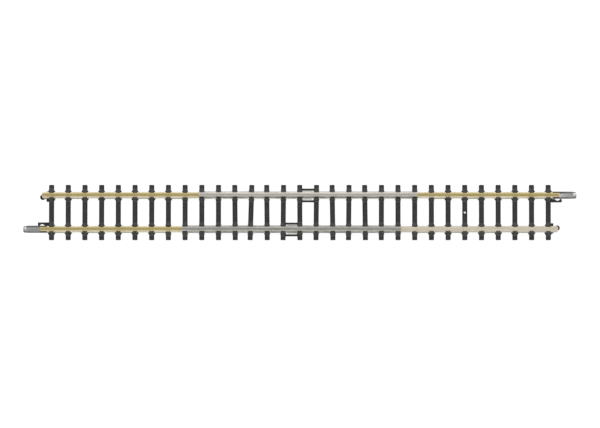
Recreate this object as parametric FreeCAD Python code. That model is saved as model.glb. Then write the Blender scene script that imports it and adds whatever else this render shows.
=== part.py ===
import FreeCAD, Part
import math
import os

# Adjustable straight section of model railway track, scale 1:220, gauge 6.5 mm.
#
# Each rail line is two brass rails that slide in one nickel silver sleeve at the middle.
# The sleepers are moulded as one zigzag grid: every sleeper is joined to the next by a link
# under one rail only, by turns near and far, so the grid stretches and squeezes with the rails.
# Here every sleeper is its own solid and carries its half-open link.
#
# Frame: X along the track, +Y towards the far rail, +Z up.
# Origin: on the underside of the middle sleeper, at its centre.
# Everything is in millimetres.

# ---- sizes of the whole section ----
GAUGE = 6.5  # between the inner faces of the rail heads
CLOSED_LENGTH = 100.0  # over the rail ends, pushed together
NOMINAL_LENGTH = 110.0  # over the rail ends, links straight and relaxed
OPEN_LENGTH = 120.0  # over the rail ends, pulled out
SLEEPERS = 31  # an odd number, so one is in the middle

# How far each sleeper leans off square as the grid lies half squeezed, in degrees
# anticlockwise from above. The links are stiff, so leaning by turns is what shortens the grid.
LEANS = {12: 0.6, 13: -1.8, 14: 0.6, 15: -0.5, 16: 0.2, 17: -0.6, 18: 0.9, 19: -0.6, 20: 0.8, 21: -0.3}

# ---- rail ----
RAIL_HEIGHT = 1.5
RAIL_UNDERSIDE = 1.10  # height of the rail foot above what the sleepers stand on
FOOT_WIDTH = 1.35
FOOT_EDGE = 0.18  # thickness of the foot at its edge
FOOT_ROOT = 0.30  # and at the web
FOOT_ROUND = 0.05
WEB_THICKNESS = 0.28
WEB_ROUND = 0.07  # where the web runs out into the foot and the head
HEAD_WIDTH = 0.70
HEAD_SIDE = 0.42  # height of the head's upright side
HEAD_ROUND = 0.12  # radius along the top of the head
HEAD_SHOULDER = 0.08  # height of the slope under the head
RAIL_END_ROUND = 0.42  # corner radius of a rail's outer end, from above
RAIL_END_BEVEL = 0.16
PLAIN_END_BACK = 0.30  # a rail without a joiner ends this much sooner
RAIL_OVERHANG = 2.29  # from the middle of the end sleeper to the rail end
BUTT_GAP = 0.10  # left between two rails in a sleeve when the track is pushed together

# ---- sleeve over the middle of each rail line ----
SLEEVE_LENGTH = 46.1
SLEEVE_SHEET = 0.10
SLEEVE_BEND = 0.12  # outer radius of the sheet's bends round the foot
SLEEVE_TURN_UNDER = 0.34  # width of the flange turned in under the foot
SLEEVE_EAR_DROP = 0.47  # the ears that hold the sleeve between two sleepers hang this far down
SLEEVE_EAR_SPREAD = 0.08  # and stand out this far from the flange
SLEEVE_EAR_ROUND = 0.04

# ---- rail joiner ----
JOINER_SHEET = 0.06
JOINER_LIP = 0.26  # reach of the lip over the foot, from the foot's edge
JOINER_GRIP = 3.0  # length on its own rail
JOINER_REACH = 3.65  # length beyond the rail end, the tongue included
JOINER_TONGUE = 0.80
JOINER_TONGUE_DROP = 0.12
JOINER_LIP_BACK = 1.35  # the lips start this far behind the rail end

# ---- sleeper ----
SLEEPER_LENGTH = 11.6
SLEEPER_WIDTH = 1.05
SLEEPER_TOP_WIDTH = 0.66
SLEEPER_TOP = 1.06
SLEEPER_SHOULDER = 0.84  # where the side turns in to the top
SLEEPER_CORNER = 0.10  # radius of its four upright corners
SLEEPER_ROUND = 0.05  # and along its top edges
PIN_HOLE_SLEEPER = 26
PIN_HOLE_RADIUS = 0.24

# ---- chair that holds the rail on a sleeper ----
CHAIR_WIDTH = 1.60  # along the rail, beside the foot
CHAIR_WIDTH_AT_SLEEVE = 1.22
CHAIR_TAPER = 0.42  # length over which it narrows to the sleeper
CHAIR_HOLLOW = 0.50  # radius where it runs out into the sleeper's side
CHAIR_CORNER = 0.08
CHAIR_UNDERSIDE = 0.20
PLATE_REACH = 0.80  # raised plate, out from the slot's wall
PLATE_WIDTH = 0.84
PLATE_RISE = 0.07
PLATE_SLOPE = 0.10
LUG_WIDTH = 0.95
LUG_WALL = 0.26
LUG_HOOK = 0.20  # reach of the lug over the foot
LUG_THICKNESS = 0.18
LUG_ROUND = 0.08

# ---- link between two sleepers, under one rail ----
LINK_WIDTH = 1.40
LINK_UNDERSIDE = 0.62
LINK_CORNER = 0.30  # radius where a link meets its sleeper
BAR_WIDTH = 0.38  # the two bars that stand in for the link beside a sleeve's ears
BAR_PLACE = 1.23  # from the rail's middle to a bar's middle
BAR_TOP = 0.90
BAR_UNDERSIDE = 0.45

# ---- what stands out from the end sleepers ----
ARM_LENGTH = 2.32
ARM_WIDTH = 0.68
ARM_TOP = 1.02
ARM_UNDERSIDE = 0.52
ARM_NOTCH_RADIUS = 0.55
ARM_NOTCH_PLACE = 1.42  # from the sleeper's side to the middle of the notch
ARM_NOTCH_OFFSET = 0.20  # from the arm's rail side, outside the arm
ARM_HOOK_ROUND = 0.12
STEP_LENGTH = 0.53  # the block beside the plain rail end
STEP_INSIDE = 1.28  # its reach from the rail's middle towards the track's middle
STEP_OUTSIDE = 0.80  # and away from it
FOOT_PAD_RADIUS = 0.55  # the round pad under the plain rail end
FOOT_PAD_FROM_END = 0.42  # from where a rail with a joiner would end
FOOT_PAD_INWARD = 0.34  # from the rail's middle towards the track's middle
FOOT_PAD_TOP = 0.46
FOOT_PAD_NECK = 0.70  # width of the strip that holds it

# ---- clearances ----
SLIDE_CLEARANCE = 0.02  # between any two pieces that slide
JOINER_CLEARANCE = 0.01  # round the foot, inside the joiner
SQUEEZE_CLEARANCE = 0.04  # left at a link's free end when the track is pushed together

# ---- worked out from the sizes above ----
MIDDLE = (SLEEPERS + 1) // 2
GAPS_A_SIDE = MIDDLE - 1
RAIL_PLACE = (GAUGE + HEAD_WIDTH) / 2  # from the track's middle to a rail's middle
FREE_PITCH = (NOMINAL_LENGTH - 2 * RAIL_OVERHANG) / (SLEEPERS - 1)
SLEEVE_PLACE = FREE_PITCH / 2  # each sleeve is centred on the gap beside the middle sleeper
RAIL_TOP = RAIL_UNDERSIDE + RAIL_HEIGHT
FOOT_HALF = FOOT_WIDTH / 2
FOOT_SLOPE = (FOOT_ROOT - FOOT_EDGE) / (FOOT_HALF - WEB_THICKNESS / 2)
SLEEVE_COVER = SLIDE_CLEARANCE + SLEEVE_SHEET  # from the rail to the sleeve's outside
JOINER_COVER = JOINER_CLEARANCE + JOINER_SHEET
LONG_RAIL = CLOSED_LENGTH / 2 + SLEEVE_PLACE - BUTT_GAP / 2
SHORT_RAIL = CLOSED_LENGTH / 2 - SLEEVE_PLACE - BUTT_GAP / 2
LEFT, RIGHT = -1, 1
NEAR, FAR = -1, 1
SAME_POINT = 1e-7


# ---- where the sleepers stand ----
def lean(number):
    """How far a sleeper leans, in radians."""
    return math.radians(LEANS.get(number, 0.0))


def gap_side(gap):
    """The rail whose link spans a gap. Gap n lies between sleepers n and n + 1."""
    return NEAR if gap % 2 else FAR


def gap_pitch(gap):
    """Distance between two sleepers' middles: their link keeps its length under its rail."""
    turned = gap_side(gap) * (lean(gap + 1) - lean(gap))
    return FREE_PITCH + RAIL_PLACE * turned


def sleeper_place(number):
    """Where the middle of a sleeper is along the track."""
    if number >= MIDDLE:
        return sum(gap_pitch(gap) for gap in range(MIDDLE, number))
    return -sum(gap_pitch(gap) for gap in range(number, MIDDLE))


def rail_end(end):
    """Where the outer end of the rails is, at the left or the right end of the track."""
    last = 1 if end == LEFT else SLEEPERS
    return sleeper_place(last) + end * RAIL_OVERHANG


def closing_travel(end):
    """How far an end moves in before the track is pushed together."""
    return abs(rail_end(end)) - CLOSED_LENGTH / 2


def opening_travel(end):
    """How far an end moves out before the track is pulled out."""
    return OPEN_LENGTH / 2 - abs(rail_end(end))


CLOSING_SHARE = max(closing_travel(LEFT), closing_travel(RIGHT)) / GAPS_A_SIDE


def sleeve_middle(side):
    return side * SLEEVE_PLACE


def meets_sleeve(number, side):
    """Does a sleeper's chair come under the sleeve at any setting of the track?"""
    closed = sleeper_place(number) + CLOSING_SHARE * (MIDDLE - number)
    apart = abs(closed - sleeve_middle(side)) - SLEEVE_LENGTH / 2 - CHAIR_WIDTH / 2
    return apart < SQUEEZE_CLEARANCE


# ---- outlines ----
def rounded_wire(corners, place):
    """A closed wire through corners (a, b, radius), each corner rounded by a tangent arc.
    place turns (a, b) into a point in space."""
    points = [place(a, b) for a, b, _ in corners]
    radii = [radius for _, _, radius in corners]
    edges, starts, ends = [], [], []
    for index, corner in enumerate(points):
        back = points[index - 1] - corner
        ahead = points[(index + 1) % len(points)] - corner
        half = back.getAngle(ahead) / 2
        cut = radii[index] / math.tan(half)
        back.normalize()
        ahead.normalize()
        starts.append(corner + back * cut)
        ends.append(corner + ahead * cut)
        if radii[index]:
            inward = (back + ahead).normalize()
            middle = corner + inward * (radii[index] / math.sin(half) - radii[index])
            edges.append(Part.Arc(starts[-1], middle, ends[-1]).toShape())
    for index, start in enumerate(starts):
        if start.distanceToPoint(ends[index - 1]) > SAME_POINT:
            edges.append(Part.makeLine(ends[index - 1], start))
    return Part.Wire(Part.__sortEdges__(edges))


def along_track(corners, start, length, middle=0.0):
    """A bar along X whose section is corners (y from middle, z, radius)."""
    wire = rounded_wire(corners, lambda y, z: FreeCAD.Vector(start, middle + y, z))
    return Part.Face(wire).extrude(FreeCAD.Vector(length, 0, 0))


def upright(corners, bottom, top):
    """A block whose outline from above is corners (x, y, radius)."""
    wire = rounded_wire(corners, lambda x, y: FreeCAD.Vector(x, y, bottom))
    return Part.Face(wire).extrude(FreeCAD.Vector(0, 0, top - bottom))


def box(x, y, z):
    """A box from three (low, high) pairs."""
    size = [high - low for low, high in (x, y, z)]
    return Part.makeBox(*size, FreeCAD.Vector(x[0], y[0], z[0]))


def both_sides(half):
    """A section that is the same on both sides of the rail, from the corners of its +Y half."""
    return half + [(-y, z, radius) for y, z, radius in reversed(half)]


def fused(pieces):
    """One clean solid out of pieces that meet."""
    return pieces[0].multiFuse(pieces[1:]).removeSplitter()


def turned_half_round(shape):
    """The same piece at the other end of the track."""
    return shape.rotated(FreeCAD.Vector(), FreeCAD.Vector(0, 0, 1), 180)


# ---- rails ----
def rail_section():
    head_underside = RAIL_TOP - HEAD_SIDE
    return both_sides([
        (FOOT_HALF, RAIL_UNDERSIDE, 0),
        (FOOT_HALF, RAIL_UNDERSIDE + FOOT_EDGE, FOOT_ROUND),
        (WEB_THICKNESS / 2, RAIL_UNDERSIDE + FOOT_ROOT, WEB_ROUND),
        (WEB_THICKNESS / 2, head_underside - HEAD_SHOULDER, WEB_ROUND),
        (HEAD_WIDTH / 2, head_underside, 0),
        (HEAD_WIDTH / 2, RAIL_TOP, HEAD_ROUND),
    ])


def right_rail(side):
    """The brass rail at the right-hand end. The long one is on the near side and has no joiner."""
    start = rail_end(RIGHT) - (LONG_RAIL if side == NEAR else SHORT_RAIL)
    end = rail_end(RIGHT) - (PLAIN_END_BACK if side == NEAR else 0)
    y = side * RAIL_PLACE
    bar = along_track(rail_section(), start, end - start, y)
    plan = upright([
        (start, y - FOOT_HALF, 0),
        (end, y - FOOT_HALF, RAIL_END_ROUND),
        (end, y + FOOT_HALF, RAIL_END_ROUND),
        (start, y + FOOT_HALF, 0),
    ], RAIL_UNDERSIDE, RAIL_TOP)
    wedge = [
        FreeCAD.Vector(end - RAIL_END_BEVEL, y - FOOT_HALF, RAIL_TOP),
        FreeCAD.Vector(end, y - FOOT_HALF, RAIL_TOP),
        FreeCAD.Vector(end, y - FOOT_HALF, RAIL_TOP - RAIL_END_BEVEL),
    ]
    bevel = Part.Face(Part.makePolygon(wedge + wedge[:1])).extrude(FreeCAD.Vector(0, FOOT_WIDTH, 0))
    return bar.common(plan).cut(bevel)


def left_rail(side):
    """The left-hand rail is the right-hand one of the other side, turned half round,
    and stands where the left end of the grid is."""
    rail = turned_half_round(right_rail(-side))
    return rail.translated(FreeCAD.Vector(rail_end(LEFT) + rail_end(RIGHT), 0, 0))


def foot_top(y):
    """Height of the foot's sloping upper face, y from the rail's middle."""
    return RAIL_UNDERSIDE + FOOT_EDGE + FOOT_SLOPE * (FOOT_HALF - y)


# ---- sleeves ----
def sleeve_section():
    """The sheet follows the rail over the head, out over the sloping foot and in under it."""
    half = FOOT_HALF + SLEEVE_COVER
    head = HEAD_WIDTH / 2 + SLEEVE_COVER
    underside = RAIL_UNDERSIDE - SLEEVE_COVER
    top = RAIL_TOP + SLEEVE_COVER
    inner_bend = SLEEVE_BEND - SLEEVE_SHEET
    inner_head_bend = HEAD_ROUND + SLIDE_CLEARANCE
    turned_in = half - SLEEVE_TURN_UNDER
    outside = [
        (turned_in, underside, 0),
        (half, underside, SLEEVE_BEND),
        (half, foot_top(half) + SLEEVE_COVER, SLEEVE_BEND),
        (head, foot_top(head) + SLEEVE_COVER, inner_bend),
        (head, top, inner_head_bend + SLEEVE_SHEET),
    ]
    inner_half, inner_head = half - SLEEVE_SHEET, head - SLEEVE_SHEET
    inside = [
        (inner_head, top - SLEEVE_SHEET, inner_head_bend),
        (inner_head, foot_top(inner_head) + SLIDE_CLEARANCE, 0),
        (inner_half, foot_top(inner_half) + SLIDE_CLEARANCE, inner_bend),
        (inner_half, underside + SLEEVE_SHEET, inner_bend),
        (turned_in, underside + SLEEVE_SHEET, 0),
    ]

    def mirrored(corners):
        return [(-y, z, radius) for y, z, radius in reversed(corners)]

    return outside + mirrored(outside) + mirrored(inside) + inside


def sleeve(side):
    """A sleeve, with an ear each side that hangs in the gap next to the middle sleeper."""
    y = side * RAIL_PLACE
    body = along_track(sleeve_section(), sleeve_middle(side) - SLEEVE_LENGTH / 2, SLEEVE_LENGTH, y)
    half = FOOT_HALF + SLEEVE_COVER
    inner, outer = half - SLEEVE_SHEET, half + SLEEVE_EAR_SPREAD
    top = foot_top(half) + SLEEVE_COVER
    tip = top - SLEEVE_SHEET - SLEEVE_EAR_DROP
    start = CHAIR_WIDTH_AT_SLEEVE / 2 + SQUEEZE_CLEARANCE
    length = FREE_PITCH - 2 * start - CLOSING_SHARE
    if side == NEAR:
        start = -start - length
    pieces = [body]
    for out in (NEAR, FAR):
        ear = [
            (out * inner, top - SLEEVE_SHEET, 0),
            (out * inner, tip, 0),
            (out * outer, tip, SLEEVE_EAR_ROUND),
            (out * outer, top, SLEEVE_BEND),
            (out * inner, top, 0),
        ]
        pieces.append(along_track(ear, start, length, y))
    return fused(pieces)


# ---- rail joiners ----
def joiner_section():
    half = FOOT_HALF + JOINER_COVER
    underside = RAIL_UNDERSIDE - JOINER_COVER
    lip_edge = FOOT_HALF - JOINER_LIP
    lip_underside = foot_top(lip_edge) + JOINER_CLEARANCE
    outside = [
        (half, underside, JOINER_SHEET),
        (half, lip_underside + JOINER_SHEET, JOINER_SHEET),
        (lip_edge, lip_underside + JOINER_SHEET, 0),
        (lip_edge, lip_underside, 0),
        (half - JOINER_SHEET, lip_underside, 0),
        (half - JOINER_SHEET, underside + JOINER_SHEET, 0),
    ]
    return both_sides(outside)


def right_joiner():
    """The joiner on the far rail's right-hand end: a channel that wraps the foot, open above
    where the end sleeper's lugs are, with a tongue that ramps down to lead the next rail in."""
    y = FAR * RAIL_PLACE
    half = FOOT_HALF + JOINER_COVER
    underside = RAIL_UNDERSIDE - JOINER_COVER
    end = rail_end(RIGHT)
    back = end - JOINER_GRIP
    lips = end - JOINER_LIP_BACK
    channel_end = end + JOINER_REACH - JOINER_TONGUE
    tip = end + JOINER_REACH
    channel = along_track(joiner_section(), back, channel_end - back, y)
    under_lugs = box((back, lips), (y - half, y + half), (RAIL_UNDERSIDE + FOOT_EDGE / 2, RAIL_TOP))
    ramp = [
        FreeCAD.Vector(channel_end, y - half, underside),
        FreeCAD.Vector(tip, y - half, underside - JOINER_TONGUE_DROP),
        FreeCAD.Vector(tip, y - half, underside - JOINER_TONGUE_DROP + JOINER_SHEET),
        FreeCAD.Vector(channel_end, y - half, underside + JOINER_SHEET),
    ]
    tongue = Part.Face(Part.makePolygon(ramp + ramp[:1])).extrude(FreeCAD.Vector(0, 2 * half, 0))
    plan = upright([
        (channel_end, y - half + JOINER_SHEET, 0),
        (tip, y - half + JOINER_SHEET, half / 2),
        (tip, y + half - JOINER_SHEET, half / 2),
        (channel_end, y + half - JOINER_SHEET, 0),
    ], underside - JOINER_TONGUE_DROP, underside + JOINER_SHEET)
    return fused([channel.cut(under_lugs), tongue.common(plan)])


# ---- sleepers ----
def seat(kind):
    """The slot a chair leaves for what it holds: half width, floor and ceiling."""
    cover = {"rail": 0.0, "sleeve": SLEEVE_COVER, "joiner": JOINER_COVER}[kind]
    half = FOOT_HALF + cover
    highest = FOOT_HALF - JOINER_LIP if kind == "joiner" else half - LUG_HOOK
    ceiling = foot_top(highest) + cover
    return half + SLIDE_CLEARANCE, RAIL_UNDERSIDE - cover - SLIDE_CLEARANCE, ceiling + SLIDE_CLEARANCE


def chair_kind(number, side):
    if number in (1, SLEEPERS):
        return "joiner"
    return "sleeve" if meets_sleeve(number, side) else "rail"


def chair(kind, side):
    """The swelling of a sleeper round one rail: its flare, raised plates and four lugs' walls,
    still without the slot for the rail."""
    half, _, ceiling = seat(kind)
    y = side * RAIL_PLACE
    wide = (CHAIR_WIDTH_AT_SLEEVE if kind == "sleeve" else CHAIR_WIDTH) / 2
    narrow = SLEEPER_WIDTH / 2
    flare = upright([
        (narrow, y - half - 2 * CHAIR_TAPER, 0),
        (narrow, y - half - CHAIR_TAPER, CHAIR_HOLLOW),
        (wide, y - half, CHAIR_CORNER),
        (wide, y + half, CHAIR_CORNER),
        (narrow, y + half + CHAIR_TAPER, CHAIR_HOLLOW),
        (narrow, y + half + 2 * CHAIR_TAPER, 0),
        (-narrow, y + half + 2 * CHAIR_TAPER, 0),
        (-narrow, y + half + CHAIR_TAPER, CHAIR_HOLLOW),
        (-wide, y + half, CHAIR_CORNER),
        (-wide, y - half, CHAIR_CORNER),
        (-narrow, y - half - CHAIR_TAPER, CHAIR_HOLLOW),
        (-narrow, y - half - 2 * CHAIR_TAPER, 0),
    ], CHAIR_UNDERSIDE, SLEEPER_SHOULDER)
    plate = along_track([
        (half + PLATE_REACH, SLEEPER_SHOULDER, 0),
        (half + PLATE_REACH, SLEEPER_TOP, 0),
        (half + PLATE_REACH - PLATE_SLOPE, SLEEPER_TOP + PLATE_RISE, 0),
        (-half - PLATE_REACH + PLATE_SLOPE, SLEEPER_TOP + PLATE_RISE, 0),
        (-half - PLATE_REACH, SLEEPER_TOP, 0),
        (-half - PLATE_REACH, SLEEPER_SHOULDER, 0),
    ], -PLATE_WIDTH / 2, PLATE_WIDTH, y)
    lugs = along_track([
        (half + LUG_WALL, SLEEPER_SHOULDER, 0),
        (half + LUG_WALL, ceiling + LUG_THICKNESS, LUG_ROUND),
        (-half - LUG_WALL, ceiling + LUG_THICKNESS, LUG_ROUND),
        (-half - LUG_WALL, SLEEPER_SHOULDER, 0),
    ], -LUG_WIDTH / 2, LUG_WIDTH, y)
    return [flare, plate, lugs]


def slot(kind, side, place):
    """What is cut out of a chair, along the rail: the foot's pocket and the way out above it."""
    half, floor, ceiling = seat(kind)
    opening = half - SLIDE_CLEARANCE - LUG_HOOK
    section = both_sides([
        (half, floor, 0),
        (half, ceiling, 0),
        (opening, ceiling, 0),
        (opening, RAIL_TOP, 0),
    ])
    return along_track(section, place - FREE_PITCH / 2, FREE_PITCH, side * RAIL_PLACE)


def sleeper_bar():
    """The plain sleeper, with its top narrower than its foot."""
    half, end = SLEEPER_WIDTH / 2, SLEEPER_LENGTH / 2
    top = SLEEPER_TOP_WIDTH / 2
    section = [
        (-half, 0, 0),
        (half, 0, 0),
        (half, SLEEPER_SHOULDER, SLEEPER_ROUND),
        (top, SLEEPER_TOP, SLEEPER_ROUND),
        (-top, SLEEPER_TOP, SLEEPER_ROUND),
        (-half, SLEEPER_SHOULDER, SLEEPER_ROUND),
    ]
    wire = rounded_wire(section, lambda x, z: FreeCAD.Vector(x, -end, z))
    bar = Part.Face(wire).extrude(FreeCAD.Vector(0, SLEEPER_LENGTH, 0))
    plan = upright([
        (-half, -end, SLEEPER_CORNER),
        (half, -end, SLEEPER_CORNER),
        (half, end, SLEEPER_CORNER),
        (-half, end, SLEEPER_CORNER),
    ], 0, SLEEPER_TOP)
    return bar.common(plan)


def link_top():
    """Links pass under the rail, and under the sleeve where there is one."""
    return seat("sleeve")[1]


def link(number, outward):
    """The link from a sleeper to the next one outward, under one rail. Its free end stops short
    of the next sleeper's chair by what the grid can still squeeze."""
    gap = number if outward == RIGHT else number - 1
    side = gap_side(gap)
    next_sleeper = number + outward
    beside_middle = MIDDLE in (number, next_sleeper)
    half = LINK_WIDTH / 2
    reach = FREE_PITCH - CHAIR_WIDTH / 2 - CLOSING_SHARE - SQUEEZE_CLEARANCE
    start = sleeper_place(number) - side * RAIL_PLACE * math.tan(lean(number))
    y = side * RAIL_PLACE
    if beside_middle:
        bars = []
        for out in (NEAR, FAR):
            middle = y + out * BAR_PLACE
            bars.append(box(
                sorted((start, start + outward * (reach + (CHAIR_WIDTH - CHAIR_WIDTH_AT_SLEEVE) / 2))),
                (middle - BAR_WIDTH / 2, middle + BAR_WIDTH / 2),
                (BAR_UNDERSIDE, BAR_TOP),
            ))
        return bars
    root = LINK_CORNER + SLEEPER_WIDTH / 2
    return [
        box(sorted((start, start + outward * reach)), (y - half, y + half), (LINK_UNDERSIDE, link_top())),
        upright([
            (start, y - half - LINK_CORNER, 0),
            (start + outward * SLEEPER_WIDTH / 2, y - half - LINK_CORNER, 0),
            (start + outward * SLEEPER_WIDTH / 2, y - half, LINK_CORNER),
            (start + outward * root, y - half, 0),
            (start + outward * root, y + half, 0),
            (start + outward * SLEEPER_WIDTH / 2, y + half, LINK_CORNER),
            (start + outward * SLEEPER_WIDTH / 2, y + half + LINK_CORNER, 0),
            (start, y + half + LINK_CORNER, 0),
        ], LINK_UNDERSIDE, min(link_top(), SLEEPER_SHOULDER)),
    ]


def locking_arm():
    """The arm beside the joiner at the right-hand end, with a round notch and a hooked tip."""
    side = seat("joiner")[0]
    outer = RAIL_PLACE - side - SLIDE_CLEARANCE
    inner = outer - ARM_WIDTH
    root = SLEEPER_WIDTH / 2
    arm = upright([
        (0, inner, 0),
        (root + ARM_LENGTH, inner, ARM_HOOK_ROUND),
        (root + ARM_LENGTH, outer, ARM_HOOK_ROUND),
        (0, outer, 0),
    ], ARM_UNDERSIDE, ARM_TOP)
    notch = Part.makeCylinder(
        ARM_NOTCH_RADIUS,
        ARM_TOP - ARM_UNDERSIDE,
        FreeCAD.Vector(root + ARM_NOTCH_PLACE, outer + ARM_NOTCH_OFFSET, ARM_UNDERSIDE),
    )
    return arm.cut(notch)


def plain_end_support():
    """What stands out under the joiner-less rail at the right-hand end: a step beside the foot,
    and a low round pad under the rail end on a flat strip."""
    y = NEAR * RAIL_PLACE
    edge = SLEEPER_WIDTH / 2
    step = box(
        (0, edge + STEP_LENGTH),
        (y - STEP_OUTSIDE, y + STEP_INSIDE),
        (0, seat("joiner")[1]),
    )
    pad_place = RAIL_OVERHANG - FOOT_PAD_FROM_END
    pad_y = y + FOOT_PAD_INWARD
    pad = Part.makeCylinder(FOOT_PAD_RADIUS, FOOT_PAD_TOP, FreeCAD.Vector(pad_place, pad_y, 0))
    strip = box((0, pad_place), (pad_y - FOOT_PAD_NECK / 2, pad_y + FOOT_PAD_NECK / 2), (0, FOOT_PAD_TOP))
    return [step, pad, strip]


def sleeper(number):
    """One sleeper where it lies, with its chairs, its link outward and its slots."""
    place = sleeper_place(number)
    kinds = {side: chair_kind(number, side) for side in (NEAR, FAR)}
    pieces = [sleeper_bar()]
    for side, kind in kinds.items():
        pieces += chair(kind, side)
    if number in (1, SLEEPERS):
        ends = [locking_arm(), *plain_end_support()]
        pieces += ends if number == SLEEPERS else [turned_half_round(piece) for piece in ends]
    body = fused(pieces)
    body.rotate(FreeCAD.Vector(), FreeCAD.Vector(0, 0, 1), math.degrees(lean(number)))
    body.translate(FreeCAD.Vector(place, 0, 0))
    links = []
    if 1 < number <= MIDDLE:
        links += link(number, LEFT)
    if MIDDLE <= number < SLEEPERS:
        links += link(number, RIGHT)
    if links:
        body = fused([body, *links])
    for side, kind in kinds.items():
        body = body.cut(slot(kind, side, place))
    if number == PIN_HOLE_SLEEPER:
        body = body.cut(Part.makeCylinder(PIN_HOLE_RADIUS, RAIL_TOP, FreeCAD.Vector(place, 0, 0)))
    return body


# ---- the whole section ----
def all_pieces():
    pieces = {
        "rail_left_far": left_rail(FAR),
        "rail_left_near": left_rail(NEAR),
        "rail_right_far": right_rail(FAR),
        "rail_right_near": right_rail(NEAR),
        "sleeve_far": sleeve(FAR),
        "sleeve_near": sleeve(NEAR),
        "joiner_right": right_joiner(),
        "joiner_left": turned_half_round(right_joiner()).translated(
            FreeCAD.Vector(rail_end(LEFT) + rail_end(RIGHT), 0, 0)
        ),
    }
    for number in range(1, SLEEPERS + 1):
        pieces[f"sleeper_{number:02d}"] = sleeper(number)
    return pieces


def save(pieces):
    os.makedirs("parts", exist_ok=True)
    for name, shape in pieces.items():
        solid = shape.Solids[0]
        if len(shape.Solids) != 1 or not solid.isValid():
            raise ValueError(f"{name} is not one sound solid")
        solid.exportStep(f"parts/{name}.step")


save(all_pieces())
print(f"rail ends at {rail_end(LEFT):.3f} and {rail_end(RIGHT):.3f}")
print(f"left end moves {closing_travel(LEFT):.3f} in and {opening_travel(LEFT):.3f} out")
print(f"right end moves {closing_travel(RIGHT):.3f} in and {opening_travel(RIGHT):.3f} out")
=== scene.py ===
# %% [markdown]
# # An adjustable piece of model railway track
#
# The real thing is 116 mm long and lies flat in a hand. Brass rails slide in silver sleeves, and a moulded
# grid of 31 sleepers squeezes and stretches with them. This lesson dresses a model that an engineer has
# already built: every piece here takes its place from that model, and only its finish and fine shape are new.

# %% Open the engineer's model
import math

import bmesh
import bpy
from mathutils import Matrix, Vector


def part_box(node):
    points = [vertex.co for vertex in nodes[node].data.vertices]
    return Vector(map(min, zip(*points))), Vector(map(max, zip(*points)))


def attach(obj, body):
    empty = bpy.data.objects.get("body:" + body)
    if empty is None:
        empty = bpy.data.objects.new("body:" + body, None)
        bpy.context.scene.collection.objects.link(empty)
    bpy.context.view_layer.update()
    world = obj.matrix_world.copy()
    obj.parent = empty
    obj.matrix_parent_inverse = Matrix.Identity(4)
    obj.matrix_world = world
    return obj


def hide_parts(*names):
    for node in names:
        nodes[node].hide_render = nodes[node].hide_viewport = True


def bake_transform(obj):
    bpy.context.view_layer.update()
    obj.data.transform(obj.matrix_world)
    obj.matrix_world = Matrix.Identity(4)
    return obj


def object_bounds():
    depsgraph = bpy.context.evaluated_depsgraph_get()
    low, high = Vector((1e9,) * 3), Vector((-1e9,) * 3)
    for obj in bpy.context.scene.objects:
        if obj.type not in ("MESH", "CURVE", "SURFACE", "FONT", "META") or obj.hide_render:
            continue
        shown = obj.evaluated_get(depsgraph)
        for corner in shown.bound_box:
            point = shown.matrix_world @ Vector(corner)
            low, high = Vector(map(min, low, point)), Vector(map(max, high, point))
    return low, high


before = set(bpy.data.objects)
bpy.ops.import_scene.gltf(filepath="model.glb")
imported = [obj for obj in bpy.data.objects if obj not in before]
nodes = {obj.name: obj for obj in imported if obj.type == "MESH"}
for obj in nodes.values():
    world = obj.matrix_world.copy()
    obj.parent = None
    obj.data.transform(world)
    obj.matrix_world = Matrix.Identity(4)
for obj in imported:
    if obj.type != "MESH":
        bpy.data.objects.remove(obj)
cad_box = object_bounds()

MM = 0.001
size = (cad_box[1] - cad_box[0]) / MM
print(f"{len(nodes)} pieces, {size.x:.1f} x {size.y:.1f} x {size.z:.2f} mm")

# %% [markdown]
# ## The camera
#
# Track is best shown from almost straight above, so that its sleepers can be counted. A short lens would
# draw the far end smaller. A long lens a metre and a half away keeps the sleepers parallel.

# %% Set up the camera
CAMERA_AWAY = 1500 * MM
CAMERA_ELEVATION = math.radians(84)
VIEW_WIDTH = 126.34 * MM  # how much of the floor the view takes in
LOOK_AT = Vector((0.04, -0.25, 0)) * MM


def place_camera():
    camera = bpy.data.objects.new("camera", bpy.data.cameras.new("camera"))
    bpy.context.scene.collection.objects.link(camera)
    back = Vector((0, -math.cos(CAMERA_ELEVATION), math.sin(CAMERA_ELEVATION)))
    camera.location = LOOK_AT + back * CAMERA_AWAY
    camera.rotation_euler = (math.pi / 2 - CAMERA_ELEVATION, 0, 0)
    camera.data.lens = camera.data.sensor_width * CAMERA_AWAY / VIEW_WIDTH
    camera.data.clip_start = CAMERA_AWAY / 100
    camera.data.clip_end = CAMERA_AWAY * 10
    bpy.context.scene.camera = camera
    return camera


camera = place_camera()
print(f"a {camera.data.lens:.0f} mm lens, {CAMERA_AWAY:.1f} m away")

# %% [markdown]
# ## Laying nodes
#
# Materials and Geometry Nodes are both trees of nodes. One small helper adds a node, changes its settings and
# fills its sockets, either with a value or with a wire from another node. The others use it for a sum, for
# the parts of a vector and for a mixed colour. They keep every tree below short.


# %% Helpers that lay nodes
def lay(tree, kind, inputs=(), **settings):
    """Adds a node to a tree. inputs gives each socket, by name or number, its value or its wire."""
    node = tree.nodes.new(kind)
    for name, value in settings.items():
        setattr(node, name, value)
    for socket, value in dict(inputs).items():
        if isinstance(value, bpy.types.NodeSocket):
            tree.links.new(value, node.inputs[socket])
        else:
            node.inputs[socket].default_value = value
    return node


def calc(tree, operation, *values, kind="ShaderNodeMath"):
    """A sum as a node. Returns its result."""
    return lay(tree, kind, enumerate(values), operation=operation).outputs[0]


def split(tree, vector):
    """The X, Y and Z of a vector."""
    return lay(tree, "ShaderNodeSeparateXYZ", {0: vector}).outputs


def join(tree, **axes):
    """A vector of X, Y and Z. One that isn't given is zero."""
    return lay(tree, "ShaderNodeCombineXYZ", axes).outputs["Vector"]


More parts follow.
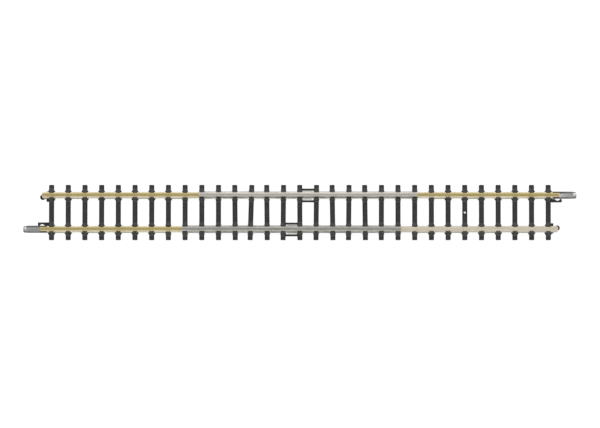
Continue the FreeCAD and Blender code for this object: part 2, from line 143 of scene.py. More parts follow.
def mix(tree, share, first, second):
    """Mixes two colours, each a wire or three numbers."""
    colours = {"A": first, "B": second}
    for key, colour in colours.items():
        if isinstance(colour, tuple):
            colours[key] = (*colour, 1)
    return lay(tree, "ShaderNodeMix", {"Factor": share, **colours}, data_type="RGBA").outputs["Result"]


# %% [markdown]
# ## Floor and light
#
# The floor is plain matt white, as in a catalogue. White paint alone would turn grey under soft light, so
# this floor is a grey that also glows, and only a faint shadow shows on it.
#
# The flat top of a rail mirrors what is above it, and its foot mirrors what stands at the sides. Two long
# soft panels at the sides and a greyer sky above therefore draw each rail as a darker line between two
# bright ones, which is how the eye knows polished metal.

# %% Lay the floor
FLOOR_SIZE = 8.0
FLOOR_DROP = 0.02 * MM  # so that the floor and the sleepers' undersides don't flicker
FLOOR_TONES = (0.24, 0.24, 0.24), (0.26, 0.26, 0.26)
FLOOR_GLOW = 0.92


def lay_floor():
    mesh = bpy.data.meshes.new("floor")
    half = FLOOR_SIZE / 2
    corners = [(-half, -half, 0), (half, -half, 0), (half, half, 0), (-half, half, 0)]
    mesh.from_pydata(corners, [], [(0, 1, 2, 3)])
    floor = bpy.data.objects.new("floor", mesh)
    floor.location.z = -FLOOR_DROP
    bpy.context.scene.collection.objects.link(floor)
    matt = bpy.data.materials.new("floor_white")
    matt.use_nodes = True
    tree = matt.node_tree
    shader = tree.nodes["Principled BSDF"]
    shader.inputs["Roughness"].default_value = 0.9
    shader.inputs["Emission Color"].default_value = (1.0, 1.0, 1.0, 1)
    shader.inputs["Emission Strength"].default_value = FLOOR_GLOW
    coords = lay(tree, "ShaderNodeTexCoord").outputs["Object"]
    cloud = lay(tree, "ShaderNodeTexNoise", {"Vector": coords, "Scale": 3.0})
    tree.links.new(mix(tree, cloud.outputs["Fac"], *FLOOR_TONES), shader.inputs["Base Color"])
    mesh.materials.append(matt)


lay_floor()
print(f"a floor {FLOOR_SIZE:.0f} m wide")

# %% Hang the lights
SKY_STRENGTH = 0.38
PANEL_AWAY = 1.0
PANEL_ELEVATION = math.radians(56)
PANEL_LONG, PANEL_WIDE = 2.4, 0.6
NEAR_WATTS, FAR_WATTS = 2.8, 3.9


def hang_panel(name, azimuth, watts):
    """A soft panel that shines on the track from the side that azimuth gives."""
    lamp = bpy.data.lights.new(name, "AREA")
    lamp.shape = "RECTANGLE"
    lamp.size, lamp.size_y = PANEL_LONG, PANEL_WIDE
    lamp.energy = watts
    panel = bpy.data.objects.new(name, lamp)
    away = Vector((math.sin(azimuth), -math.cos(azimuth), 0)) * math.cos(PANEL_ELEVATION)
    away.z = math.sin(PANEL_ELEVATION)
    panel.location = away * PANEL_AWAY
    panel.rotation_euler = away.to_track_quat("Z", "Y").to_euler()
    panel.visible_camera = False
    bpy.context.scene.collection.objects.link(panel)


def light_sky():
    world = bpy.data.worlds.new("sky")
    world.use_nodes = True
    backdrop = world.node_tree.nodes["Background"]
    backdrop.inputs["Color"].default_value = (1.0, 1.0, 1.0, 1)
    backdrop.inputs["Strength"].default_value = SKY_STRENGTH
    bpy.context.scene.world = world


light_sky()
hang_panel("panel_near", 0, NEAR_WATTS)
hang_panel("panel_far", math.pi, FAR_WATTS)
bpy.context.scene.view_settings.view_transform = "Standard"
print(f"a sky and two panels of {NEAR_WATTS} and {FAR_WATTS} watts")

# %% [markdown]
# ## Sleeper plastic
#
# The sleepers are moulded in matt black-green plastic. A plain dark colour would look like a hole, so three
# things break it up: a slow change of tint along the track, a fine grain along each sleeper from the mould,
# and a paler top, partly wear where fingers and wheels rub it and partly a painted highlight on the faces
# that look up. Towards the bottom, the plastic is painted darker, as painted shade.


# %% A start for every material
def new_material(name):
    """A material with its shader, and the piece's own coordinates in millimetres."""
    material = bpy.data.materials.new(name)
    material.use_nodes = True
    tree = material.node_tree
    coords = lay(tree, "ShaderNodeTexCoord").outputs["Object"]
    in_mm = calc(tree, "SCALE", coords, kind="ShaderNodeVectorMath")
    in_mm.node.inputs["Scale"].default_value = 1 / MM
    return material, tree, tree.nodes["Principled BSDF"], in_mm


def stretched(tree, coords, along, across, height):
    """Coordinates for a pattern: how many of its marks fit in a millimetre along X, Y and Z."""
    return calc(tree, "MULTIPLY", coords, (along, across, height), kind="ShaderNodeVectorMath")


def noise(tree, coords, detail=3.0, roughness=0.5):
    sizes = {"Vector": coords, "Scale": 1.0, "Detail": detail, "Roughness": roughness}
    return lay(tree, "ShaderNodeTexNoise", sizes).outputs["Fac"]


def ramp(tree, value, low, high, out_low=0.0, out_high=1.0):
    """Spreads the values from low to high over out_low to out_high."""
    ends = {"From Min": low, "From Max": high, "To Min": out_low, "To Max": out_high}
    return lay(tree, "ShaderNodeMapRange", {"Value": value, **ends}).outputs["Result"]


def bump(tree, shader, height, depth):
    """Raises the surface by height times depth, in metres."""
    node = lay(tree, "ShaderNodeBump", {"Height": height, "Distance": depth, "Strength": 1.0})
    tree.links.new(node.outputs["Normal"], shader.inputs["Normal"])


# %% Mix the sleeper plastic
PLATE_TOP = 1.13
LOW_SHADE_FROM, LOW_SHADE_TO = 0.6, 1.0  # painted shade: below these heights, in millimetres, the plastic is darkened towards black
LOW_SHADE_BLACK = (0.006, 0.007, 0.007)


def sleeper_plastic():
    material, tree, shader, coords = new_material("sleeper_plastic")
    tint = ramp(tree, noise(tree, stretched(tree, coords, 0.21, 0.05, 0.05), 1.0), 0.35, 0.65)
    grain = noise(tree, stretched(tree, coords, 14.0, 1.3, 14.0), 4.0, 0.6)
    cloud = noise(tree, stretched(tree, coords, 1.1, 1.1, 1.1), 4.0)
    colour = mix(tree, tint, (0.029, 0.035, 0.032), (0.032, 0.034, 0.037))
    colour = mix(tree, ramp(tree, grain, 0.35, 0.75, 0.0, 0.35), colour, (0.045, 0.048, 0.047))
    facing = split(tree, lay(tree, "ShaderNodeNewGeometry").outputs["Normal"])["Z"]
    # paler tops: partly rubbing wear, partly a painted highlight on faces that look up
    wear_and_top_light = calc(tree, "MULTIPLY", ramp(tree, facing, 0.93, 0.995), ramp(tree, cloud, 0.3, 0.7, 0.25, 0.6))
    colour = mix(tree, wear_and_top_light, colour, (0.085, 0.090, 0.088))
    height = split(tree, coords)["Z"]
    on_plate = ramp(tree, height, PLATE_TOP - 0.06, PLATE_TOP - 0.01)
    raised = calc(tree, "MULTIPLY", on_plate, ramp(tree, cloud, 0.3, 0.7, 0.35, 0.75))
    colour = mix(tree, raised, colour, (0.15, 0.155, 0.15))
    # painted shade: towards the bottom the colour is mixed towards near-black
    colour = mix(tree, ramp(tree, height, LOW_SHADE_FROM, LOW_SHADE_TO, 0.25, 1.0), LOW_SHADE_BLACK, colour)
    tree.links.new(colour, shader.inputs["Base Color"])
    tree.links.new(ramp(tree, grain, 0.3, 0.7, 0.52, 0.70), shader.inputs["Roughness"])
    shader.inputs["Specular IOR Level"].default_value = 0.20
    bump(tree, shader, grain, 0.012 * MM)
    return material


plastic = sleeper_plastic()
print(f"{plastic.name}: {len(plastic.node_tree.nodes)} nodes")

# %% [markdown]
# ## Metals
#
# Rail is drawn through a die, which leaves hair-fine lines along it, and the touch of hands leaves tarnish in
# patches. The sleeve and the joiner are rolled sheet, drawn the same way and bright. So one recipe makes all
# the metals: a bright tone, a dull tone that comes in patches, lines along the track, and a roughness that
# follows both. Two more touches come from where a point is, and both are painted light. A rail's head keeps
# its golden tone, and its sloping foot is painted paler, as a painted highlight on its slopes. And where
# sheet is folded, the recipe paints shade in bands at a given distance from the middle of the rail. Only the
# tones and amounts change.


# %% A recipe for drawn metal
RAIL_UNDERSIDE, RAIL_TOP = (corner.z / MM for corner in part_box("rail_right_far"))
RAIL_MIDDLE = sum(corner.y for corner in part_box("rail_right_far")) / 2 / MM
# painted shade: the tone and soft edge of the dark bands along the folds of the sheet
FOLD_SHADE = (0.035, 0.033, 0.026)
FOLD_SHADE_EDGE = 0.05
# painted highlight on a rail's foot: full below the first depth, none above the second
SHEEN_BELOW, NO_SHEEN_ABOVE = 0.40, 0.05  # millimetres under the rail's top


def band(tree, value, start, end, soft):
    """1 between start and end, 0 elsewhere."""
    begins = ramp(tree, value, start - soft, start + soft)
    return calc(tree, "MULTIPLY", begins, ramp(tree, value, end - soft, end + soft, 1.0, 0.0))


def from_rail(tree, coords):
    """How far a point is across the track from the middle of the nearer rail."""
    across = split(tree, coords)["Y"]
    middle = calc(tree, "MULTIPLY", calc(tree, "SIGN", across), RAIL_MIDDLE)
    return calc(tree, "SUBTRACT", across, middle)


def drawn_metal(name, bright, dull, tarnish, lines, rough, foot=None, shade_bands=()):
    """bright, dull and foot are colours; foot is a painted highlight, a paler tone low on a rail's sloping
    foot.
    tarnish and lines say how strong each is. rough is a low and a high. The last argument lists bands of
    painted shade along the folds and creases of the sheet, across the rail: start, end and strength."""
    material, tree, shader, coords = new_material(name)
    hair = noise(tree, stretched(tree, coords, 0.12, 9.0, 9.0), 3.0, 0.65)
    streak = noise(tree, stretched(tree, coords, 0.10, 2.2, 2.2), 2.0)
    patch = noise(tree, stretched(tree, coords, 0.45, 0.8, 0.8), 4.0, 0.6)
    spot = noise(tree, stretched(tree, coords, 3.5, 3.5, 3.5), 2.0)
    dullness = ramp(tree, patch, 0.38, 0.66, 0.0, tarnish)
    dullness = calc(tree, "ADD", dullness, ramp(tree, streak, 0.35, 0.70, 0.0, lines))
    dullness = calc(tree, "ADD", dullness, ramp(tree, spot, 0.62, 0.72, 0.0, tarnish * 0.4))
    colour = mix(tree, dullness, bright, dull)
    if foot:
        # painted highlight: a paler tone over the rail's sloping foot, fading out towards its head
        low = ramp(tree, split(tree, coords)["Z"], RAIL_TOP - SHEEN_BELOW, RAIL_TOP - NO_SHEEN_ABOVE, 1.0, 0.0)
        colour = mix(tree, low, colour, mix(tree, calc(tree, "MULTIPLY", dullness, 0.5), foot, dull))
    uneven = ramp(tree, patch, 0.3, 0.6, 0.7, 1.0)
    # painted shade: each band darkens the colour at a set distance from the rail's middle
    for start, end, strength in shade_bands:
        shaded_here = band(tree, from_rail(tree, coords), start, end, FOLD_SHADE_EDGE)
        shaded_here = calc(tree, "MULTIPLY", shaded_here, calc(tree, "MULTIPLY", uneven, strength))
        colour = mix(tree, shaded_here, colour, FOLD_SHADE)
    tree.links.new(colour, shader.inputs["Base Color"])
    matt = ramp(tree, calc(tree, "ADD", hair, dullness), 0.3, 1.3, *rough)
    tree.links.new(matt, shader.inputs["Roughness"])
    shader.inputs["Metallic"].default_value = 1.0
    bump(tree, shader, calc(tree, "ADD", hair, calc(tree, "MULTIPLY", streak, 1.5)), 0.006 * MM)
    return material


# Each foot tone below is a painted highlight, and each list of bands is painted shade along folds and
# creases.
brass = drawn_metal(
    "rail_brass", (0.82, 0.68, 0.34), (0.60, 0.47, 0.15),
    tarnish=0.50, lines=0.40, rough=(0.20, 0.40), foot=(0.76, 0.70, 0.56),
)
pale_brass = drawn_metal(
    "rail_brass_polished", (0.93, 0.85, 0.69), (0.76, 0.67, 0.48),
    tarnish=0.35, lines=0.30, rough=(0.42, 0.56), foot=(0.80, 0.75, 0.66),
)
silver = drawn_metal(
    "sleeve_silver", (0.90, 0.86, 0.79), (0.60, 0.57, 0.49),
    tarnish=0.40, lines=0.45, rough=(0.20, 0.40),
    shade_bands=[(-0.62, -0.45, 0.80), (0.62, 0.95, 0.30), (-0.95, -0.68, 0.15)],
)
# a darker copy of the sleeve silver, for the near sleeve
darker_silver = drawn_metal(
    "sleeve_silver_darker", (0.72, 0.70, 0.65), (0.36, 0.35, 0.30),
    tarnish=0.45, lines=0.50, rough=(0.16, 0.34),
    shade_bands=[(-0.90, -0.52, 0.45), (0.60, 0.90, 0.45)],
)
steel = drawn_metal(
    "joiner_steel", (0.80, 0.80, 0.79), (0.50, 0.50, 0.49),
    tarnish=0.35, lines=0.45, rough=(0.14, 0.32),
    shade_bands=[(-1.0, -0.46, 0.97), (0.48, 1.0, 0.92), (-0.22, -0.12, 0.25)],
)
print("brass, polished brass, silver, darker silver and steel")

# %% [markdown]
# ## Working in millimetres
#
# Blender's tools treat points closer than a thousandth of a millimetre as one, if the scene is in metres.
# This track has sheet a tenth of a millimetre thick, so every shape is made a thousand times too large,
# in plain millimetres, and shrunk at the very end. The last step also turns the faces outwards, and marks
# which edges stay sharp.

# %% Finish a shape and put it in the scene
SHARP = math.radians(32)
WELD = 0.0005  # points closer than this, in millimetres, are one


def cleaned(mesh, closer_than=WELD):
    """A bmesh of the mesh, with doubled points joined and the faces turned outwards."""
    work = bmesh.new()
    work.from_mesh(mesh)
    bmesh.ops.remove_doubles(work, verts=work.verts, dist=closer_than)
    bmesh.ops.recalc_face_normals(work, faces=work.faces)
    return work


def weld(mesh):
    work = cleaned(mesh)
    work.to_mesh(mesh)
    work.free()


def plain_piece(name, mesh, turn=0.0, shift=(0, 0, 0), weld_at=WELD):
    """Turns a mesh in millimetres about Z, shifts it, shrinks it to metres and makes it a piece."""
    work = cleaned(mesh, weld_at)
    work.transform(Matrix.Translation(shift) @ Matrix.Rotation(turn, 4, "Z"))
    work.transform(Matrix.Scale(MM, 4))
    open_edges = sum(not edge.is_manifold for edge in work.edges)
    work.to_mesh(mesh)
    work.free()
    mesh.shade_smooth()
    mesh.set_sharp_from_angle(angle=SHARP)
    mesh.name = name
    piece = bpy.data.objects.new(name, mesh)
    bpy.context.scene.collection.objects.link(piece)
    if open_edges:
        print(f"{name} has {open_edges} open edges")
    return piece


def as_evaluated(host):
    """The mesh that an object's modifiers make. The host itself is thrown away."""
    bpy.context.scene.collection.objects.link(host)
    bpy.context.view_layer.update()
    made = bpy.data.meshes.new_from_object(host.evaluated_get(bpy.context.evaluated_depsgraph_get()))
    bpy.data.objects.remove(host)
    return made


# %% [markdown]
# ## Rails: a section pulled along a line
#
# Real rail is drawn: a brass bar is pulled through a die that has the rail's outline. Geometry Nodes can do
# the same. A small outline with a radius written on each corner is rounded by Fillet Curve and swept by
# Curve to Mesh. Two sums then shape the outer end: one keeps the width inside a rounded plan, the other
# keeps the height under a short bevel. Changing a size later means changing one number.


# %% Helpers for Geometry Nodes
def new_tree(name, sizes):
    """A tree with an input for an outline, one for each size and one for the finish."""
    tree = bpy.data.node_groups.new(name, "GeometryNodeTree")
    tree.is_modifier = True
    sockets = tree.interface
    sockets.new_socket("Outline", in_out="INPUT", socket_type="NodeSocketGeometry")
    for size_name in sizes:
        sockets.new_socket(size_name, in_out="INPUT", socket_type="NodeSocketFloat")
    sockets.new_socket("Finish", in_out="INPUT", socket_type="NodeSocketMaterial")
    sockets.new_socket("Piece", in_out="OUTPUT", socket_type="NodeSocketGeometry")
    return tree, tree.nodes.new("NodeGroupInput").outputs


def moved(tree, geometry, position):
    """Puts every point of a geometry at a position."""
    inputs = {"Geometry": geometry, "Position": position}
    return lay(tree, "GeometryNodeSetPosition", inputs).outputs["Geometry"]


def swept(tree, line, outline, count, radius):
    """An outline, its corners rounded with count points, pulled along a line."""
    corners = {"Curve": outline, "Count": count, "Radius": radius}
    rounded = lay(tree, "GeometryNodeFilletCurve", corners, mode="POLY").outputs["Curve"]
    sweep = {"Curve": line, "Profile Curve": rounded, "Fill Caps": True}
    return lay(tree, "GeometryNodeCurveToMesh", sweep).outputs["Mesh"]


def chord(tree, radius, inside):
    """Half the chord of a circle, at a distance from its middle."""
    squares = [calc(tree, "POWER", length, 2.0) for length in (radius, inside)]
    return calc(tree, "SQRT", calc(tree, "MAXIMUM", 0.0, calc(tree, "SUBTRACT", *squares)))


def end_tree(tree, geometry, finish):
    real = lay(tree, "GeometryNodeRealizeInstances", {"Geometry": geometry}).outputs["Geometry"]
    painted = lay(tree, "GeometryNodeSetMaterial", {"Geometry": real, "Material": finish})
    lay(tree, "NodeGroupOutput", {"Piece": painted.outputs["Geometry"]})


def run_tree(tree, finish, sizes, outline=()):
    """Runs a tree on an outline of (y, z, radius) corners and returns the mesh it makes."""
    mesh = bpy.data.meshes.new(tree.name)
    count = len(outline)
    mesh.from_pydata([(-y, -z, 0) for y, z, _ in outline], [(i, (i + 1) % count) for i in range(count)], [])
    radii = mesh.attributes.new("corner_radius", "FLOAT", "POINT")
    for number, (_, _, radius) in enumerate(outline):
        radii.data[number].value = radius
    host = bpy.data.objects.new(tree.name, mesh)
    modifier = host.modifiers.new(tree.name, "NODES")
    modifier.node_group = tree
    for item in tree.interface.items_tree:
        if item.name in sizes:
            modifier[item.identifier] = float(sizes[item.name])
        elif item.name == "Finish":
            modifier[item.identifier] = finish
    return as_evaluated(host)


# %% The tree that draws a section
END_RINGS = 12
FILLET_POINTS = 6


def drawing_tree():
    tree, size = new_tree("drawn_section", ["Start", "End", "Half Width", "Top", "End Round", "End Bevel"])
    radius = size["End Round"]

    # stations along the line: one at the start, the others crowd into the rounded end
    index = lay(tree, "GeometryNodeInputIndex").outputs["Index"]
    angle = calc(tree, "MULTIPLY", calc(tree, "SUBTRACT", index, 1.0), math.pi / 2 / END_RINGS)
    from_end = calc(tree, "MULTIPLY", radius, calc(tree, "SUBTRACT", 1.0, calc(tree, "SINE", angle)))
    station = calc(tree, "SUBTRACT", size["End"], from_end)
    first = lay(tree, "FunctionNodeCompare", {"A": index, "B": 0}, data_type="INT", operation="EQUAL")
    choice = {"Switch": first.outputs["Result"], "False": station, "True": size["Start"]}
    along = lay(tree, "GeometryNodeSwitch", choice, input_type="FLOAT").outputs["Output"]
    stations = lay(tree, "GeometryNodeMeshLine", {"Count": END_RINGS + 2}).outputs["Mesh"]
    stations = moved(tree, stations, join(tree, X=along))
    line = lay(tree, "GeometryNodeMeshToCurve", {"Mesh": stations}).outputs["Curve"]

    # the outline, its corners rounded
    corner = lay(tree, "GeometryNodeInputNamedAttribute", {"Name": "corner_radius"}, data_type="FLOAT")
    outline = lay(tree, "GeometryNodeMeshToCurve", {"Mesh": size["Outline"]}).outputs["Curve"]
    sweep = swept(tree, line, outline, FILLET_POINTS, corner.outputs["Attribute"])

    # the rounded and bevelled end
    here = split(tree, lay(tree, "GeometryNodeInputPosition").outputs["Position"])
    distance = calc(tree, "SUBTRACT", size["End"], here["X"])
    inside = calc(tree, "SUBTRACT", radius, calc(tree, "MINIMUM", distance, radius))
    half = calc(tree, "ADD", calc(tree, "SUBTRACT", size["Half Width"], radius), chord(tree, radius, inside))
    across = calc(tree, "MINIMUM", here["Y"], half)
    across = calc(tree, "MAXIMUM", across, calc(tree, "MULTIPLY", half, -1.0))
    cut = calc(tree, "MAXIMUM", 0.0, calc(tree, "SUBTRACT", size["End Bevel"], distance))
    height = calc(tree, "MINIMUM", here["Z"], calc(tree, "SUBTRACT", size["Top"], cut))
    piece = moved(tree, sweep, join(tree, X=here["X"], Y=across, Z=height))
    end_tree(tree, piece, size["Finish"])
    return tree


draw = drawing_tree()
print(f"{draw.name}: {len(draw.nodes)} nodes")

# %% The rail's outline
FOOT_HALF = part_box("rail_right_far")[1].y / MM - RAIL_MIDDLE
FOOT_EDGE, FOOT_ROOT = 0.18, 0.30
WEB_HALF = 0.14
HEAD_HALF, HEAD_SIDE, HEAD_SHOULDER = 0.35, 0.42, 0.08
HEAD_ROUND = 0.12


def both_sides(half):
    """An outline that is the same on both sides, from the corners of one half."""
    return half + [(-y, z, radius) for y, z, radius in reversed(half)]


def foot_top(y):
    """Height of the sloping foot, y from the rail's middle."""
    slope = (FOOT_ROOT - FOOT_EDGE) / (FOOT_HALF - WEB_HALF)
    return RAIL_UNDERSIDE + FOOT_EDGE + slope * (FOOT_HALF - y)


RAIL_OUTLINE = both_sides([
    (FOOT_HALF, RAIL_UNDERSIDE, 0.02),
    (FOOT_HALF, foot_top(FOOT_HALF), 0.05),
    (WEB_HALF, foot_top(WEB_HALF), 0.07),
    (WEB_HALF, RAIL_TOP - HEAD_SIDE - HEAD_SHOULDER, 0.07),
    (HEAD_HALF, RAIL_TOP - HEAD_SIDE, 0.02),
    (HEAD_HALF, RAIL_TOP, HEAD_ROUND),
])
print(f"an outline of {len(RAIL_OUTLINE)} corners, {2 * FOOT_HALF:.2f} x {RAIL_TOP - RAIL_UNDERSIDE:.2f} mm")

# %% Draw the four rails
RAIL_END_ROUND, RAIL_END_BEVEL = 0.42, 0.16
HALF_TURN = math.pi


def draw_rail(node, body, finish):
    """The tree rounds the end at the right, so a left rail is drawn as a right one and turned half round."""
    low, high = (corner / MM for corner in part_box(node))
    left = node.startswith("rail_left")
    ends = (-high.x, -low.x) if left else (low.x, high.x)
    mesh = run_tree(draw, finish, {
        "Start": ends[0], "End": ends[1], "Half Width": FOOT_HALF, "Top": RAIL_TOP,
        "End Round": RAIL_END_ROUND, "End Bevel": RAIL_END_BEVEL,
    }, RAIL_OUTLINE)
    middle = (low.y + high.y) / 2
    rail = plain_piece(f"{node}_drawn", mesh, HALF_TURN if left else 0.0, (0, middle, 0))
    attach(rail, body)
    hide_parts(node)
    print(f"{node}: {ends[1] - ends[0]:.2f} mm long, {len(mesh.polygons)} faces")


draw_rail("rail_left_far", "left_end", brass)
draw_rail("rail_left_near", "left_end", brass)
draw_rail("rail_right_far", "right_end", brass)
draw_rail("rail_right_near", "right_end", pale_brass)

# %% [markdown]
# ## Sleeves: folded sheet
#
# A sleeve is one strip of silver sheet, folded over the rail's head, down onto its foot and in under it, so
# the rails slide inside. Folding is also a section pulled along a line, so the same tree makes it. Only the
# ears, which hang between two sleepers and stop the sleeve from wandering, are short pieces of another
# outline. A Boolean joins them to the strip, so that the sleeve is one closed skin.

# %% The outlines of a sleeve and its ears
SLIDE, SHEET = 0.02, 0.10
COVER = SLIDE + SHEET
FLANGE_BEND, TURNED_IN = 0.12, 0.34
EAR_DROP, EAR_SPREAD, EAR_ROUND = 0.47, 0.08, 0.04


def sleeve_outline():
    """Up the outside of the sheet, over the top, and back along its inside."""
    half, head = FOOT_HALF + COVER, HEAD_HALF + COVER
    under, top = RAIL_UNDERSIDE - COVER, RAIL_TOP + COVER
    outside = [
        (half - TURNED_IN, under, 0.01),
        (half, under, FLANGE_BEND),
        (half, foot_top(half) + COVER, FLANGE_BEND),
        (head, foot_top(head) + COVER, 0.04),
        (head, top, HEAD_ROUND + COVER),
    ]
    half, head = half - SHEET, head - SHEET
    inside = [
        (head, top - SHEET, HEAD_ROUND + SLIDE),
        (head, foot_top(head) + SLIDE, 0.01),
        (half, foot_top(half) + SLIDE, FLANGE_BEND - SHEET),
        (half, under + SHEET, FLANGE_BEND - SHEET),
        (half - TURNED_IN + SHEET, under + SHEET, 0.01),
    ]
    mirrored = [(-y, z, radius) for y, z, radius in reversed(inside)]
    return both_sides(outside) + mirrored + inside


def ear_outline(side):
    half = FOOT_HALF + COVER
    top = foot_top(half) + COVER
    return [
        (side * (half - SHEET), top - SHEET, 0.01),
        (side * (half - SHEET), top - SHEET - EAR_DROP, 0.01),
        (side * (half + EAR_SPREAD), top - SHEET - EAR_DROP, EAR_ROUND),
        (side * (half + EAR_SPREAD), top - SHEET / 4, FLANGE_BEND),
        (side * (half - SHEET / 2), top - SHEET / 4, 0.01),
    ]


print(f"a sleeve's outline has {len(sleeve_outline())} corners, an ear's {len(ear_outline(1))}")


# %% Fold the two sleeves
def ear_span(node):
    """Where a sleeve's ears start and end: they hang lowest of all its corners."""
    corners = [v.co / MM for v in nodes[node].data.vertices]
    lowest = min(corner.z for corner in corners)
    along = [corner.x for corner in corners if corner.z < lowest + SHEET / 2]
    return min(along), max(along)


def fold_sleeve(node, finish):
    """A strip as long as the sleeve, with an ear joined to each side. Its ends aren't rounded."""
    low, high = (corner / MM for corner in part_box(node))
    plain = {"Half Width": 2 * FOOT_HALF, "Top": 2 * RAIL_TOP, "End Round": 0.0, "End Bevel": 0.0}
    mesh = run_tree(draw, finish, {"Start": low.x, "End": high.x, **plain}, sleeve_outline())
    weld(mesh)
    strip = bpy.data.objects.new(node, mesh)
    start, end = ear_span(node)
    ears = []
    for side in (-1, 1):
        mesh = run_tree(draw, finish, {"Start": start, "End": end, **plain}, ear_outline(side))
        ear = bpy.data.objects.new("ear", mesh)
        bpy.context.scene.collection.objects.link(ear)
        weld(mesh)
        joint = strip.modifiers.new("ear", "BOOLEAN")
        joint.operation, joint.solver, joint.object = "UNION", "EXACT", ear
        ears.append(ear)
    mesh = as_evaluated(strip)
    for ear in ears:
        bpy.data.objects.remove(ear)
    sleeve = plain_piece(f"{node}_folded", mesh, 0.0, (0, (low.y + high.y) / 2, 0))
    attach(sleeve, "centre")
    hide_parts(node)
    print(f"{node}: {high.x - low.x:.1f} mm long, ears {end - start:.2f} mm, {len(mesh.polygons)} faces")


fold_sleeve("sleeve_far", silver)
fold_sleeve("sleeve_near", darker_silver)

# %% [markdown]
# ## Sleepers and joiners: softened copies
#
# Nothing moulded has a knife edge, because molten plastic doesn't fill a corner, and pressed sheet is rolled
# over where the punch went in. The engineer's pieces have the right shape but perfectly sharp edges. A copy
# is cleaned into flat faces, and a Bevel modifier rounds every edge by a few hundredths of a millimetre. That
# thin round catches the light and draws the outline of each plate and lug.


# %% Copy a piece and soften its edges
BEVEL_STEPS = 2
FLAT = math.radians(1)


def softened(node, body, finish, edge):
    """A copy of a node with its edges rounded. It isn't welded again, because that would close up the
    shortest bevels."""
    work = bmesh.new()
    work.from_mesh(nodes[node].data)
    work.transform(Matrix.Scale(1 / MM, 4))
    bmesh.ops.remove_doubles(work, verts=work.verts, dist=WELD)
    bmesh.ops.dissolve_limit(work, angle_limit=FLAT, verts=work.verts, edges=work.edges)
    mesh = bpy.data.meshes.new(node)
    work.to_mesh(mesh)
    work.free()
    mesh.materials.clear()
    mesh.materials.append(finish)
    host = bpy.data.objects.new(node, mesh)
    bevel = host.modifiers.new("soft edge", "BEVEL")
    bevel.width, bevel.segments = edge, BEVEL_STEPS
    bevel.limit_method, bevel.angle_limit = "ANGLE", SHARP
    bevel.use_clamp_overlap = True
    piece = plain_piece(f"{node}_soft", as_evaluated(host), weld_at=0.0)
    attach(piece, body)
    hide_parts(node)
    return piece


# %% Soften the sleepers and joiners
SLEEPERS = 31
MIDDLE = 16
MOULDED_EDGE, PRESSED_EDGE = 0.025, 0.012


def sleeper_body(number):
    """The body a sleeper moves with."""
    return {1: "left_end", MIDDLE: "centre", SLEEPERS: "right_end"}.get(number, f"sleeper_{number:02d}")


faces = 0
for number in range(1, SLEEPERS + 1):
    node = f"sleeper_{number:02d}"
    sleeper = softened(node, sleeper_body(number), plastic, MOULDED_EDGE)
    faces += len(sleeper.data.polygons)
print(f"{SLEEPERS} sleepers, {faces} faces")
for node, body in (("joiner_left", "left_end"), ("joiner_right", "right_end")):
    joiner = softened(node, body, steel, PRESSED_EDGE)
    print(f"{node}: {len(joiner.data.polygons)} faces")

# %% [markdown]
# ## Links between the sleepers
#
# Every sleeper is joined to the next under one rail only, so the grid can zigzag as it is squeezed. The
# engineer's model has half a link on each sleeper, because solid pieces can't stretch. Here each link is
# whole. It is one more section pulled along a line, with a hollow corner at each end where it meets the
# sleepers, and it is made by a tree because there are thirty of them.

# %% The tree that makes a link
LINK_RINGS = 60
LINK_EDGE, LINK_EDGE_POINTS = 0.04, 3
LINK_SIZES = ["From", "To", "Middle", "Half Width", "Underside", "Top", "Shoulder", "Corner", "Bury"]


def link_tree():
    tree, size = new_tree("link", LINK_SIZES)
    corner = size["Corner"]
    start = join(tree, X=calc(tree, "SUBTRACT", size["From"], size["Bury"]))
    end = join(tree, X=calc(tree, "ADD", size["To"], size["Bury"]))
    line = lay(tree, "GeometryNodeCurvePrimitiveLine", {"Start": start, "End": end}).outputs["Curve"]
    line = lay(tree, "GeometryNodeResampleCurve", {"Curve": line, "Count": LINK_RINGS}).outputs["Curve"]
    width = calc(tree, "MULTIPLY", size["Half Width"], 2.0)
    height = calc(tree, "SUBTRACT", size["Top"], size["Underside"])
    sides = {"Width": width, "Height": height}
    outline = lay(tree, "GeometryNodeCurvePrimitiveQuadrilateral", sides).outputs["Curve"]
    sweep = swept(tree, line, outline, LINK_EDGE_POINTS, LINK_EDGE)

    # the hollow corners: near a sleeper the link widens by a quarter circle, and drops to its shoulder
    here = split(tree, lay(tree, "GeometryNodeInputPosition").outputs["Position"])
    from_start = calc(tree, "SUBTRACT", here["X"], size["From"])
    nearest = calc(tree, "MINIMUM", from_start, calc(tree, "SUBTRACT", size["To"], here["X"]))
    beside = calc(tree, "MAXIMUM", 0.0, calc(tree, "MINIMUM", nearest, corner))
    flare = calc(tree, "SUBTRACT", corner, chord(tree, corner, calc(tree, "SUBTRACT", corner, beside)))
    across = calc(tree, "ADD", here["Y"], calc(tree, "MULTIPLY", flare, calc(tree, "SIGN", here["Y"])))
    above = calc(tree, "GREATER_THAN", here["Z"], 0.0)
    step = calc(tree, "SUBTRACT", size["Top"], size["Shoulder"])
    drop = calc(tree, "MULTIPLY", calc(tree, "DIVIDE", flare, corner), step)
    level = calc(tree, "DIVIDE", calc(tree, "ADD", size["Top"], size["Underside"]), 2.0)
    rise = calc(tree, "ADD", here["Z"], level)
    rise = calc(tree, "SUBTRACT", rise, calc(tree, "MULTIPLY", above, drop))
    piece = moved(tree, sweep, join(tree, X=here["X"], Y=calc(tree, "ADD", across, size["Middle"]), Z=rise))
    end_tree(tree, piece, size["Finish"])
    return tree


linker = link_tree()
print(f"{linker.name}: {len(linker.nodes)} nodes")

# %% Measure the half links
PAST_CHAIRS = 1.2  # from a sleeper's middle, along the track
END_STRIP = 0.15  # this much of a sleeper's end shows how it leans


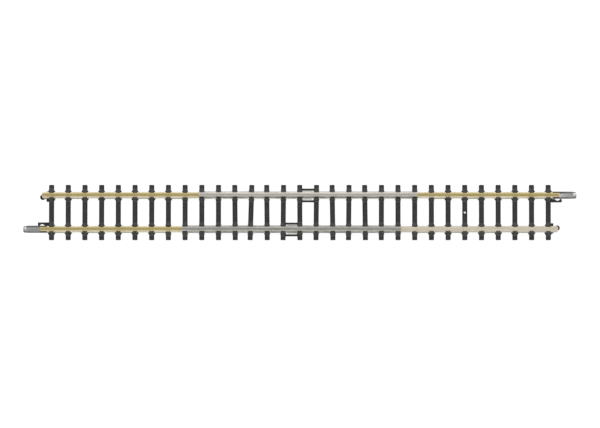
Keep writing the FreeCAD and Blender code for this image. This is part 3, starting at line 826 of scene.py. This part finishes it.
def sleeper_line(number):
    """A function that gives where a sleeper's middle is along the track, at any y across it. Some lean."""
    corners = [v.co / MM for v in nodes[f"sleeper_{number:02d}"].data.vertices]
    end = max(corner.y for corner in corners) - END_STRIP
    means = []
    for side in (-1, 1):
        along = [corner.x for corner in corners if corner.y * side > end]
        means.append((min(along) + max(along)) / 2)
    lean = (means[1] - means[0]) / 2 / (end + END_STRIP)
    return lambda y: (means[0] + means[1]) / 2 + lean * y


def half_link(number, outward):
    """What stands out from a sleeper towards the next one outward, past its chairs: where it starts and ends
    across the track and in height, and its corners."""
    middle = sleeper_line(number)(0)
    corners = [v.co / MM for v in nodes[f"sleeper_{number:02d}"].data.vertices]
    out = [corner for corner in corners if (corner.x - middle) * outward > PAST_CHAIRS]
    return [(min(c[axis] for c in out), max(c[axis] for c in out)) for axis in (1, 2)], out


(across, heights), _ = half_link(SLEEPERS - 1, 1)
print(f"a half link is {across[1] - across[0]:.2f} mm wide and {heights[1] - heights[0]:.2f} mm deep")

# %% Make the whole links
SKIN = 0.012  # the whole link stands this far outside the half link that it hides
SLEEPER_HALF = 0.525
SHOULDER = 0.84
LINK_CORNER, BAR_CORNER = 0.30, 0.10
BURY = 0.15
FOLLOW = 0.1535  # this far along a smooth blend, it has come about one fifteenth of the way


def blend_link(piece, gap, start, end):
    """Looks up the bodies on each side of a link's gap; a blend would need two bodies with a joint between
    them. The outermost sleepers are part of the track's ends, so their links take the centre instead, over so
    long a stretch that each would have only the first fifteenth of the motion. No blend is made: the link's
    place is only baked into its points."""
    left, right = sleeper_body(gap), sleeper_body(gap + 1)
    if gap == 1:
        end, right = start + (end - start) / FOLLOW, "centre"
    if gap == SLEEPERS - 1:
        start, left = end - (end - start) / FOLLOW, "centre"
    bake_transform(piece)


def make_link(gap, name, across, heights, corner, shoulder):
    middle = sum(across) / 2
    start = sleeper_line(gap)(middle) + SLEEPER_HALF
    end = sleeper_line(gap + 1)(middle) - SLEEPER_HALF
    mesh = run_tree(linker, plastic, {
        "From": start, "To": end, "Middle": middle, "Half Width": (across[1] - across[0]) / 2 + SKIN,
        "Underside": heights[0] - SKIN, "Top": heights[1] + SKIN, "Shoulder": shoulder,
        "Corner": corner, "Bury": BURY,
    })
    piece = plain_piece(name, mesh)
    blend_link(piece, gap, start + corner, end - corner)
    return mesh


for gap in range(1, SLEEPERS):
    inner, outward = (gap + 1, -1) if gap < MIDDLE else (gap, 1)
    (across, heights), corners = half_link(inner, outward)
    name = f"link_{gap:02d}"
    if inner == MIDDLE:  # two bars beside the sleeve's ears
        between = sum(across) / 2
        for side, keep in (("near", lambda y: y < between), ("far", lambda y: y > between)):
            ys = [corner.y for corner in corners if keep(corner.y)]
            mesh = make_link(gap, f"{name}_{side}", (min(ys), max(ys)), heights, BAR_CORNER, heights[1])
    else:
        mesh = make_link(gap, name, across, heights, LINK_CORNER, SHOULDER)
print(f"{SLEEPERS - 1} gaps, {len(mesh.polygons)} faces a link")
